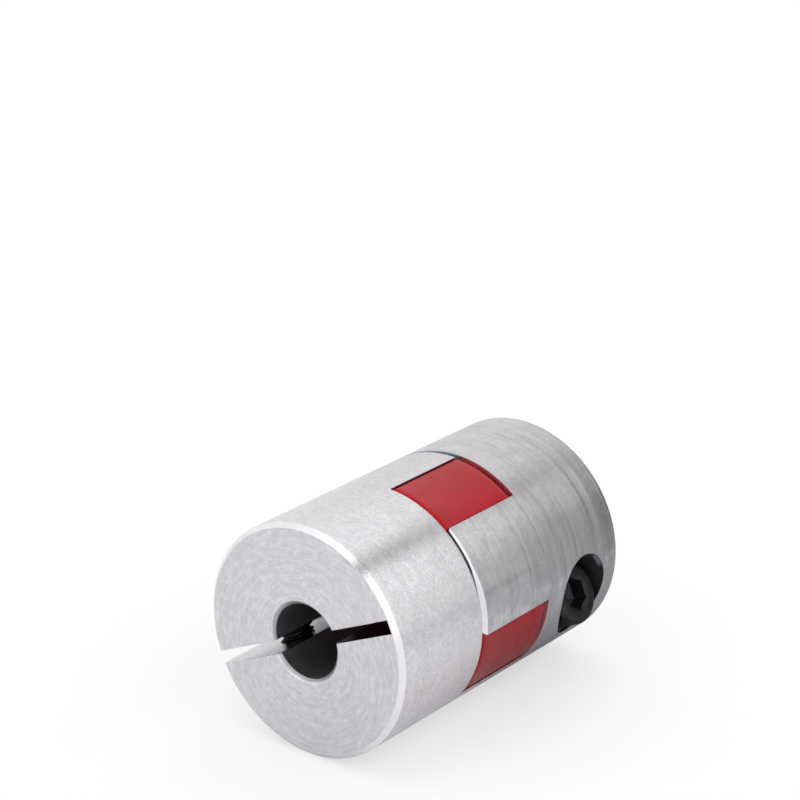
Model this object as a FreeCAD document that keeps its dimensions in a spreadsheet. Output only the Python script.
import FreeCAD, Part
import math
import os
import Sketcher

# Clamping jaw coupling, 20 mm outside diameter, 30 mm long, for two 6.35 mm shafts.
#
# Frame: origin on the shaft axis at the middle of the coupling; +X runs from the drive
# hub to the driven hub; +Z is up. The coupling lies on its side, turned about X by
# roll_deg.
#
# Each piece is modelled in a frame of its own and its Placement puts it in the coupling.
# The two hubs are the same part, modelled as the drive hub with its jaws on +Z and -Z;
# the driven hub is turned half a revolution about the line Y = -Z. So is its clamp screw.

doc = FreeCAD.newDocument("JawCoupling")

# ---------------------------------------------------------------- driving dimensions
DIMENSIONS = [
    # alias, value in mm or degrees, note
    ("outer_dia", 20.0, "outside diameter of both hubs"),
    ("total_len", 30.0, "overall length, end face to end face"),
    ("boss_len", 10.33, "solid length of each hub behind its jaws"),
    ("tip_gap", 0.42, "gap between a jaw's tip and the other hub's boss"),
    ("flank_off", 3.0, "flank of a jaw from the middle plane of the leg beside it"),
    ("jaw_in_rad", 5.35, "radius of the jaws' inner face"),
    ("jaw_break", 0.1, "chamfer round the windows' outer edges"),
    ("tip_corner", 0.3, "chamfer on the corners of the jaws' tips"),
    ("rim_chamfer", 0.42, "chamfer round the end face"),
    ("bore_dia", 6.35, "shaft bore"),
    ("bore_chamfer", 0.33, "chamfer at the mouth of the bore"),
    ("slit_wide", 1.1, "width of the sawn slit"),
    ("slit_blind", 9.5, "where the slit stops on its closed side"),
    ("screw_off", 5.7, "clamp screw axis from the shaft axis"),
    ("screw_end", 5.1, "clamp screw axis from the hub's end face"),
    ("sink_dia", 6.15, "counterbore for the screw head"),
    ("seat_high", 4.3, "counterbore floor from the middle of the slit"),
    ("clear_dia", 3.4, "clearance hole for the shank"),
    ("tapped_dia", 3.05, "tapped hole, over the thread"),
    ("head_dia", 5.4, "screw head"),
    ("head_high", 3.0, "screw head height"),
    ("head_top", 7.5, "top of the head from the middle of the slit, screw a little loose"),
    ("head_break", 0.45, "chamfer on the top of the head"),
    ("socket_flats", 2.5, "hexagon socket across flats"),
    ("socket_deep", 1.5, "hexagon socket depth"),
    ("shank_dia", 3.0, "screw shank over the thread"),
    ("shank_len", 10.0, "screw shank length under the head"),
    ("shank_break", 0.3, "chamfer on the end of the shank"),
    ("plain_len", 0.55, "plain length under the head"),
    ("thread_end", 0.35, "least length of shank left past the last pitch"),
    ("thread_pitch", 0.5, "spacing of the thread's ridges"),
    ("thread_deep", 0.28, "depth of the thread's grooves"),
    ("groove_share", 0.9, "width of a thread groove as a share of the pitch"),
    ("legs_dia", 19.8, "outside diameter over the spider's legs"),
    ("ring_dia", 10.4, "outside diameter of the spider's centre ring"),
    ("ring_hole_dia", 7.4, "through hole of the spider"),
    ("leg_root", 0.5, "start of a leg outside the ring's hole, inside the ring's wall"),
    ("spider_len", 9.0, "length of the spider along the axis"),
    ("spider_shift", 0.0, "middle of the spider from the middle of the coupling"),
    ("leg_gap", 0.09, "gap between a leg and the jaw's flank beside it"),
    ("leg_break", 0.6, "chamfer on the ends of the legs"),
    ("crown_over", 1.0, "extra length of the legs before turning, and overrun of the cut"),
    ("crown_high", 4.0, "height of the turning cut outside the legs"),
    ("drive_screw_turn", 11.0, "turn of the drive hub's screw about its own axis"),
    ("driven_screw_turn", 28.0, "turn of the driven hub's screw about its own axis"),
    ("roll_deg", -24.28, "turn of the whole coupling about its axis as it lies"),
]
sheet = doc.addObject("Spreadsheet::Sheet", "Dimensions")
for row, (alias, size, note) in enumerate(DIMENSIONS, start=1):
    sheet.set("A%d" % row, alias)
    sheet.set("B%d" % row, "%g" % size)
    sheet.setAlias("B%d" % row, alias)
    sheet.set("C%d" % row, note)
doc.recompute()
dims = {alias: float(sheet.get(alias)) for alias, _, _ in DIMENSIONS}

# Places used more than once, along X in the drive hub's frame
END_FACE = "-total_len / 2"
BOSS_FACE = "-total_len / 2 + boss_len"
JAW_TIP = "total_len / 2 - boss_len - tip_gap"

NEAR = 1e-6         # edges this close to a plane lie on it
NEAR_ROUND = 1e-4   # points this close to the outside radius lie on it


# ---------------------------------------------------------------- expressions
def substitute(text, form):
    """Replace every dimension's name in text by form(name)."""
    out, word = "", ""
    for char in text + " ":
        if char.isalnum() or char == "_":
            word += char
        else:
            out += (form(word) if word in dims else word) + char
            word = ""
    return out.strip()


def bound(text):
    """The expression with each dimension's name as a reference to its cell."""
    return substitute(text, lambda name: "Dimensions." + name)


def value(text):
    """The number an expression stands for, used to draw a sketch where it will end up."""
    numbers = substitute(text, lambda name: repr(dims[name]))
    return float(FreeCAD.Units.Quantity(numbers.replace(" ", "")).Value)


# ---------------------------------------------------------------- sketches
def new_sketch(body, name, role, offset=None):
    plane = [f for f in body.Origin.OriginFeatures if f.Role == role][0]
    sketch = body.newObject("Sketcher::SketchObject", name)
    sketch.AttachmentSupport = [(plane, "")]
    sketch.MapMode = "FlatFace"
    if offset is not None:
        sketch.AttachmentOffset = FreeCAD.Placement(
            FreeCAD.Vector(0, 0, value(offset)), FreeCAD.Rotation())
        sketch.setExpression("AttachmentOffset.Base.z", bound(offset))
    return sketch


def drive(sketch, text, *constraint):
    """Add a constraint whose size follows an expression."""
    index = sketch.addConstraint(Sketcher.Constraint(*constraint, value(text)))
    sketch.setExpression("Constraints[%d]" % index, bound(text))


def lock(sketch, geo, pos, x, y):
    """Hold a point at expressions x, y; a zero coordinate puts it on the sketch's axis."""
    for axis, zero_line, text in (("X", -2, x), ("Y", -1, y)):
        if abs(value(text)) < 1e-9:
            sketch.addConstraint(Sketcher.Constraint("PointOnObject", geo, pos, zero_line))
        else:
            drive(sketch, text, "Distance" + axis, -1, 1, geo, pos)


def polygon(sketch, corners):
    """Closed straight-sided loop; each corner is a pair of expressions."""
    points = [FreeCAD.Vector(value(x), value(y), 0) for x, y in corners]
    following = points[1:] + points[:1]
    lines = [sketch.addGeometry(Part.LineSegment(start, end), False)
             for start, end in zip(points, following)]
    for line, after in zip(lines, lines[1:] + lines[:1]):
        sketch.addConstraint(Sketcher.Constraint("Coincident", line, 2, after, 1))
    for line, (x, y) in zip(lines, corners):
        lock(sketch, line, 1, x, y)


def circle(sketch, x, y, dia):
    centre = FreeCAD.Vector(value(x), value(y), 0)
    geo = sketch.addGeometry(
        Part.Circle(centre, FreeCAD.Vector(0, 0, 1), value(dia) / 2), False)
    lock(sketch, geo, 3, x, y)
    drive(sketch, dia, "Diameter", geo)


# ---------------------------------------------------------------- features
def must_shrink(feature):
    """A cut that points away from the solid removes nothing: compare volumes."""
    if not feature.Shape.Volume < feature.BaseFeature.Shape.Volume - 1e-3:
        raise RuntimeError("%s removed nothing" % feature.Name)


def turned(body, sketch, name, cut=False, axis="H_Axis"):
    feature = body.newObject("PartDesign::Groove" if cut else "PartDesign::Revolution", name)
    feature.Profile = sketch
    feature.ReferenceAxis = (sketch, [axis])
    feature.Angle = 360
    sketch.Visibility = False
    doc.recompute()
    if cut:
        must_shrink(feature)
    return feature


def extruded(body, sketch, name, length, cut=False, reverse=False, midplane=False):
    """Pad or pocket. A pad follows the sketch's normal, a pocket runs against it."""
    feature = body.newObject("PartDesign::Pocket" if cut else "PartDesign::Pad", name)
    feature.Profile = sketch
    feature.Length = value(length)
    feature.setExpression("Length", bound(length))
    feature.Reversed = reverse
    if midplane:
        feature.SideType = "Symmetric"
    sketch.Visibility = False
    doc.recompute()
    if cut:
        must_shrink(feature)
    return feature


def chamfered(body, base, edges, name, size):
    feature = body.newObject("PartDesign::Chamfer", name)
    feature.Base = (base, edges)
    feature.Size = value(size)
    feature.setExpression("Size", bound(size))
    doc.recompute()
    must_shrink(feature)
    return feature


def edges_where(shape, test):
    return ["Edge%d" % n for n, edge in enumerate(shape.Edges, start=1) if test(edge)]


# ---------------------------------------------------------------- the hub
def at_jaw_tip(edge):
    """Straight edge in the plane of the jaws' tips."""
    box = edge.BoundBox
    return (box.XLength < NEAR and abs(box.XMin - value(JAW_TIP)) < NEAR
            and edge.Curve.TypeId == "Part::GeomLine")


def round_window(edge):
    """Edge on the outside diameter, from the boss face to the jaws' tips."""
    if edge.BoundBox.XMin < value(BOSS_FACE) - NEAR:
        return False
    radius = value("outer_dia / 2")
    return all(abs(math.hypot(point.y, point.z) - radius) < NEAR_ROUND
               for point in edge.discretize(7))


def make_jaws(body, label):
    # Turned blank: boss with its bore, end chamfers, and the ring the jaws are left from.
    sketch = new_sketch(body, label + "_profile", "XY_Plane")
    polygon(sketch, [
        (END_FACE, "bore_dia / 2 + bore_chamfer"),
        (END_FACE, "outer_dia / 2 - rim_chamfer"),
        (END_FACE + " + rim_chamfer", "outer_dia / 2"),
        (JAW_TIP, "outer_dia / 2"),
        (JAW_TIP, "jaw_in_rad"),
        (BOSS_FACE, "jaw_in_rad"),
        (BOSS_FACE, "bore_dia / 2"),
        (END_FACE + " + bore_chamfer", "bore_dia / 2"),
    ])
    turned(body, sketch, label + "_blank")

    # Windows: everything between the two jaws, whose flanks stand parallel to the
    # middle planes of the spider's legs at 45 degrees. The flank planes meet at Y = 0.
    meeting = "flank_off * %.8f" % math.sqrt(2)
    sketch = new_sketch(body, label + "_window_outline", "YZ_Plane", BOSS_FACE)
    polygon(sketch, [
        ("0", meeting),
        ("outer_dia", meeting + " + outer_dia"),
        ("outer_dia", "-" + meeting + " - outer_dia"),
        ("0", "-" + meeting),
        ("-outer_dia", "-" + meeting + " - outer_dia"),
        ("-outer_dia", meeting + " + outer_dia"),
    ])
    windows = extruded(body, sketch, label + "_windows", "total_len - 2 * boss_len",
                       cut=True, reverse=True)

    edges = edges_where(windows.Shape, at_jaw_tip)
    if len(edges) != 4:
        raise RuntimeError("expected four tip edges, found %d" % len(edges))
    tips = chamfered(body, windows, edges, label + "_tip_corners", "tip_corner")

    # Fine chamfer round the windows where they meet the outside.
    edges = edges_where(tips.Shape, round_window)
    chamfered(body, tips, edges, label + "_window_edges", "jaw_break")


def cut_clamp(body, label):
    # Slit sawn across the bore, open on +Y and blind on -Y, through the whole boss.
    sketch = new_sketch(body, label + "_slit_outline", "YZ_Plane", END_FACE)
    polygon(sketch, [
        ("-slit_blind", "-slit_wide / 2"),
        ("outer_dia", "-slit_wide / 2"),
        ("outer_dia", "slit_wide / 2"),
        ("-slit_blind", "slit_wide / 2"),
    ])
    extruded(body, sketch, label + "_slit", "boss_len + tip_gap", cut=True, reverse=True)

    # Clamp screw hole across the slit: counterbore and clearance above, thread below.
    holes = [
        # outline, feature, diameter, start height, upwards
        ("_sink_outline", "_counterbore", "sink_dia", "seat_high", True),
        ("_clear_outline", "_clearance_hole", "clear_dia", None, True),
        ("_tapped_outline", "_tapped_hole", "tapped_dia", None, False),
    ]
    for outline, name, dia, start, upwards in holes:
        sketch = new_sketch(body, label + outline, "XY_Plane", start)
        circle(sketch, END_FACE + " + screw_end", "screw_off", dia)
        body.Tip = extruded(body, sketch, label + name, "outer_dia", cut=True, reverse=upwards)


def make_hub(label):
    body = doc.addObject("PartDesign::Body", label)
    make_jaws(body, label)
    cut_clamp(body, label)
    return body


# ---------------------------------------------------------------- the spider
def make_spider(label):
    """Centre ring with four legs, on +Y, +Z, -Y and -Z."""
    body = doc.addObject("PartDesign::Body", label)
    sketch = new_sketch(body, label + "_ring_outline", "YZ_Plane", "spider_shift")
    circle(sketch, "0", "0", "ring_dia")
    circle(sketch, "0", "0", "ring_hole_dia")
    extruded(body, sketch, label + "_ring", "spider_len", midplane=True)

    # One leg along +Y, rooted inside the ring's wall, then four of them about X.
    root, outside = "ring_hole_dia / 2 + leg_root", "legs_dia / 2 + crown_over"
    sketch = new_sketch(body, label + "_leg_outline", "YZ_Plane", "spider_shift")
    polygon(sketch, [
        (root, "-flank_off + leg_gap"),
        (outside, "-flank_off + leg_gap"),
        (outside, "flank_off - leg_gap"),
        (root, "flank_off - leg_gap"),
    ])
    leg = extruded(body, sketch, label + "_leg", "spider_len", midplane=True)
    axis = [f for f in body.Origin.OriginFeatures if f.Role == "X_Axis"][0]
    pattern = body.newObject("PartDesign::PolarPattern", label + "_legs")
    pattern.Originals = [leg]
    pattern.Axis = (axis, [""])
    pattern.Angle = 360
    pattern.Occurrences = 4
    body.Tip = pattern
    doc.recompute()

    # The legs' outer faces, turned to one diameter with 45 degree broken ends.
    low, high = "spider_shift - spider_len / 2", "spider_shift + spider_len / 2"
    inside = "legs_dia / 2 - leg_break - crown_over"
    sketch = new_sketch(body, label + "_crown_outline", "XY_Plane")
    polygon(sketch, [
        (low + " - crown_over", inside),
        (low + " + leg_break", "legs_dia / 2"),
        (high + " - leg_break", "legs_dia / 2"),
        (high + " + crown_over", inside),
        (high + " + crown_over", "legs_dia / 2 + crown_high"),
        (low + " - crown_over", "legs_dia / 2 + crown_high"),
    ])
    body.Tip = turned(body, sketch, label + "_crown", cut=True)
    return body


# ---------------------------------------------------------------- the clamp screw
def make_screw(label):
    """Axis on Z, underside of the head at Z = 0, shank towards -Z."""
    body = doc.addObject("PartDesign::Body", label)

    # Half section of head and shank; the thread is a row of separate V grooves.
    corners = [
        ("0", "-shank_len"),
        ("0", "head_high"),
        ("head_dia / 2 - head_break", "head_high"),
        ("head_dia / 2", "head_high - head_break"),
        ("head_dia / 2", "0"),
        ("shank_dia / 2", "0"),
    ]
    groove_count = int(value("shank_len - plain_len - thread_end") / dims["thread_pitch"])
    for i in range(groove_count):
        top = "-plain_len - %d * thread_pitch" % i
        corners += [
            ("shank_dia / 2", top),
            ("shank_dia / 2 - thread_deep", top + " - groove_share * thread_pitch / 2"),
            ("shank_dia / 2", top + " - groove_share * thread_pitch"),
        ]
    corners += [
        ("shank_dia / 2", "-shank_len + shank_break"),
        ("shank_dia / 2 - shank_break", "-shank_len"),
    ]
    sketch = new_sketch(body, label + "_profile", "XZ_Plane")
    polygon(sketch, corners)
    turned(body, sketch, label + "_blank", axis="V_Axis")

    # Hexagon socket, sunk from the top of the head with two corners on the Y axis.
    corner_radius = 1 / (2 * math.cos(math.radians(30)))    # for 1 mm across flats
    corners = []
    for i in range(6):
        angle = math.radians(60 * i + 30)
        corners.append(("socket_flats * %.8f" % (corner_radius * math.cos(angle)),
                        "socket_flats * %.8f" % (corner_radius * math.sin(angle))))
    sketch = new_sketch(body, label + "_socket_outline", "XY_Plane", "head_high")
    polygon(sketch, corners)
    body.Tip = extruded(body, sketch, label + "_socket", "socket_deep", cut=True)
    return body


# ---------------------------------------------------------------- assembly
drive_hub = make_hub("drive_hub")
driven_hub = make_hub("driven_hub")
spider = make_spider("spider")
drive_screw = make_screw("drive_clamp_screw")
driven_screw = make_screw("driven_clamp_screw")

roll = "rotation(vector(1; 0; 0); Dimensions.roll_deg)"
half_turn = "rotation(vector(0; 1; -1); 180)"
screw_seat = "vector(%s; %s; %s)" % (
    bound(END_FACE + " + screw_end"), bound("screw_off"), bound("head_top - head_high"))

sides = [
    (drive_hub, drive_screw, roll, "drive_screw_turn"),
    (driven_hub, driven_screw, roll + " * " + half_turn, "driven_screw_turn"),
]
for hub, screw, rotation, screw_turn in sides:
    hub_place = "placement(vector(0; 0; 0); %s)" % rotation
    hub.setExpression("Placement", hub_place)
    screw.setExpression(
        "Placement", "%s * placement(%s; rotation(vector(0; 0; 1); %s))"
        % (hub_place, screw_seat, bound(screw_turn)))
# The legs stand at 45 degrees, between the jaws.
spider.setExpression(
    "Placement", "placement(vector(0; 0; 0); %s * rotation(vector(1; 0; 0); 45))" % roll)
doc.recompute()

# ---------------------------------------------------------------- soundness and files
for obj in doc.Objects:
    if "Invalid" in obj.State or "Error" in obj.State:
        raise RuntimeError("%s failed: %s" % (obj.Name, obj.State))
pieces = [drive_hub, driven_hub, spider, drive_screw, driven_screw]
for body in pieces:
    shape = body.Shape
    if shape.isNull() or not shape.isValid() or len(shape.Solids) != 1:
        raise RuntimeError("%s has no sound single solid" % body.Label)
os.makedirs("parts", exist_ok=True)
for body in pieces:
    body.Shape.exportStep("parts/%s.step" % body.Label)
